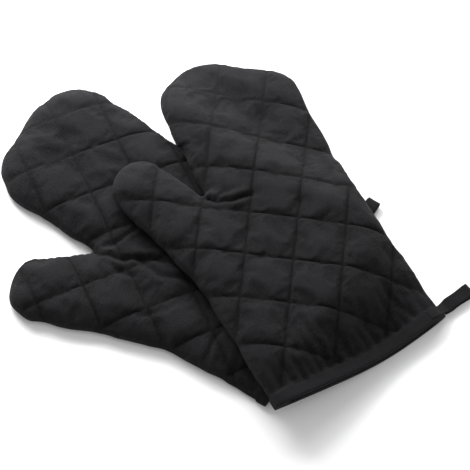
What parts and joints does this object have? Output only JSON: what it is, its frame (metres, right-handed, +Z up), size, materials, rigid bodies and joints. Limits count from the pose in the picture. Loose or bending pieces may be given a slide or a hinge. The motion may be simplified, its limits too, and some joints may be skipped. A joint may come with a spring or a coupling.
{
  "type": "quilted oven mitt pair",
  "caption": "Pair of quilted cotton oven mitts with a separate thumb, bound cuff and hanging loop, one laid across the other and able to lift off.",
  "frame": {"origin": "centre of the pair's bounding box on the surface it lies on", "axes": "+Y from the cuff to the fingertips of the upper mitt, +X to the side away from its thumb, +Z up from the surface"},
  "size_m": [0.3306, 0.3622, 0.0412],
  "materials": {
    "shell_cloth": "matt woven cotton, diamond quilted",
    "wadding": "soft cotton wadding",
    "lining_cloth": "matt plain cotton",
    "binding_tape": "folded cotton tape with topstitching"
  },
  "bodies": {
    "lower_hand": {"lower_back_shell_hand": "shell_cloth", "lower_palm_shell_hand": "shell_cloth", "lower_back_wadding_hand": "wadding", "lower_palm_wadding_hand": "wadding", "lower_back_lining_hand": "lining_cloth", "lower_palm_lining_hand": "lining_cloth", "lower_cuff_binding": "binding_tape"},
    "lower_fingers": {"lower_back_shell_fingers": "shell_cloth", "lower_palm_shell_fingers": "shell_cloth", "lower_back_wadding_fingers": "wadding", "lower_palm_wadding_fingers": "wadding", "lower_back_lining_fingers": "lining_cloth", "lower_palm_lining_fingers": "lining_cloth"},
    "lower_thumb": {"lower_back_shell_thumb": "shell_cloth", "lower_palm_shell_thumb": "shell_cloth", "lower_back_wadding_thumb": "wadding", "lower_palm_wadding_thumb": "wadding", "lower_back_lining_thumb": "lining_cloth", "lower_palm_lining_thumb": "lining_cloth"},
    "lower_loop": {"lower_hanging_loop": "binding_tape"},
    "upper_hand": {"upper_back_shell_hand": "shell_cloth", "upper_palm_shell_hand": "shell_cloth", "upper_back_wadding_hand": "wadding", "upper_palm_wadding_hand": "wadding", "upper_back_lining_hand": "lining_cloth", "upper_palm_lining_hand": "lining_cloth", "upper_cuff_binding": "binding_tape"},
    "upper_fingers": {"upper_back_shell_fingers": "shell_cloth", "upper_palm_shell_fingers": "shell_cloth", "upper_back_wadding_fingers": "wadding", "upper_palm_wadding_fingers": "wadding", "upper_back_lining_fingers": "lining_cloth", "upper_palm_lining_fingers": "lining_cloth"},
    "upper_thumb": {"upper_back_shell_thumb": "shell_cloth", "upper_palm_shell_thumb": "shell_cloth", "upper_back_wadding_thumb": "wadding", "upper_palm_wadding_thumb": "wadding", "upper_back_lining_thumb": "lining_cloth", "upper_palm_lining_thumb": "lining_cloth"},
    "upper_loop": {"upper_hanging_loop": "binding_tape"}
  },
  "joints": [
    {"name": "lower_finger_fold", "type": "hinge", "parent": "lower_hand", "child": "lower_fingers", "pos_m": [-0.03449, 0.08809, 0.0202], "axis": [0.8669, 0.4985, 0], "range_deg": [0, 90]},
    {"name": "lower_thumb_fold", "type": "hinge", "parent": "lower_hand", "child": "lower_thumb", "pos_m": [-0.08319, 0.02607, 0.0202], "axis": [0.165, 0.9863, 0], "range_deg": [0, 70]},
    {"name": "lower_loop_swing", "type": "hinge", "parent": "lower_hand", "child": "lower_loop", "pos_m": [0.1106, -0.06659, 0.0032], "axis": [0.373, -0.9278, 0], "range_deg": [0, 15]},
    {"name": "upper_lift", "type": "slide", "parent": "lower_hand", "child": "upper_hand", "axis": [0, 0, 1], "range_m": [0, 0.15]},
    {"name": "upper_finger_fold", "type": "hinge", "parent": "upper_hand", "child": "upper_fingers", "pos_m": [0.08702, 0.03697, 0.03215], "axis": [0.9482, 0, -0.3177], "range_deg": [0, 75]},
    {"name": "upper_thumb_fold", "type": "hinge", "parent": "upper_hand", "child": "upper_thumb", "pos_m": [0.00513, 0.00431, 0.04135], "axis": [0.6347, 0.7727, 0], "range_deg": [0, 70]},
    {"name": "upper_loop_swing", "type": "hinge", "parent": "upper_hand", "child": "upper_loop", "pos_m": [0.13569, -0.16872, 0.0032], "axis": [0.1392, -0.9903, 0], "range_deg": [0, 80]}
  ]
}
